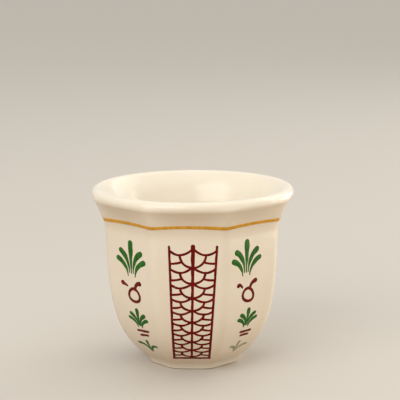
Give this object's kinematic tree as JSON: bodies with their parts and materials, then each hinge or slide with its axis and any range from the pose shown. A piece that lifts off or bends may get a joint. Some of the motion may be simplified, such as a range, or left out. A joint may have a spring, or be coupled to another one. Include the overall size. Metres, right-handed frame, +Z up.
{
  "type": "handle-less coffee cup",
  "caption": "Small octagonal porcelain coffee cup with no handle, a round flared lip, an ochre line and enamel columns of scales, sprigs and buds.",
  "frame": {"origin": "middle of the foot's underside, on the surface that the cup stands on", "axes": "+Z up along the cup's axis; -Y faces the panel that is in front in the picture, +X to its right"},
  "size_m": [0.0648, 0.0648, 0.0568],
  "materials": {
    "ivory_porcelain": "warm ivory porcelain under a clear gloss glaze",
    "ochre_enamel": "fired ochre line, gloss",
    "dark_red_enamel": "fired dark red enamel, gloss",
    "leaf_green_enamel": "fired leaf green enamel, gloss",
    "bud_red_enamel": "fired brownish red enamel, gloss"
  },
  "bodies": {
    "root": {"porcelain_body": "ivory_porcelain", "ochre_line": "ochre_enamel", "scale_column_front": "dark_red_enamel", "scale_column_right": "dark_red_enamel", "scale_column_back": "dark_red_enamel", "scale_column_left": "dark_red_enamel", "sprig_large_front_left": "leaf_green_enamel", "bud_front_left": "bud_red_enamel", "bud_stalk_front_left": "bud_red_enamel", "sprig_small_front_left": "leaf_green_enamel", "bar_upper_front_left": "bud_red_enamel", "bar_lower_front_left": "bud_red_enamel", "sprig_low_front_left": "leaf_green_enamel", "sprig_large_front_right": "leaf_green_enamel", "bud_front_right": "bud_red_enamel", "bud_stalk_front_right": "bud_red_enamel", "sprig_small_front_right": "leaf_green_enamel", "bar_upper_front_right": "bud_red_enamel", "bar_lower_front_right": "bud_red_enamel", "sprig_low_front_right": "leaf_green_enamel", "sprig_large_back_right": "leaf_green_enamel", "bud_back_right": "bud_red_enamel", "bud_stalk_back_right": "bud_red_enamel", "sprig_small_back_right": "leaf_green_enamel", "bar_upper_back_right": "bud_red_enamel", "bar_lower_back_right": "bud_red_enamel", "sprig_low_back_right": "leaf_green_enamel", "sprig_large_back_left": "leaf_green_enamel", "bud_back_left": "bud_red_enamel", "bud_stalk_back_left": "bud_red_enamel", "sprig_small_back_left": "leaf_green_enamel", "bar_upper_back_left": "bud_red_enamel", "bar_lower_back_left": "bud_red_enamel", "sprig_low_back_left": "leaf_green_enamel"}
  },
  "joints": []
}
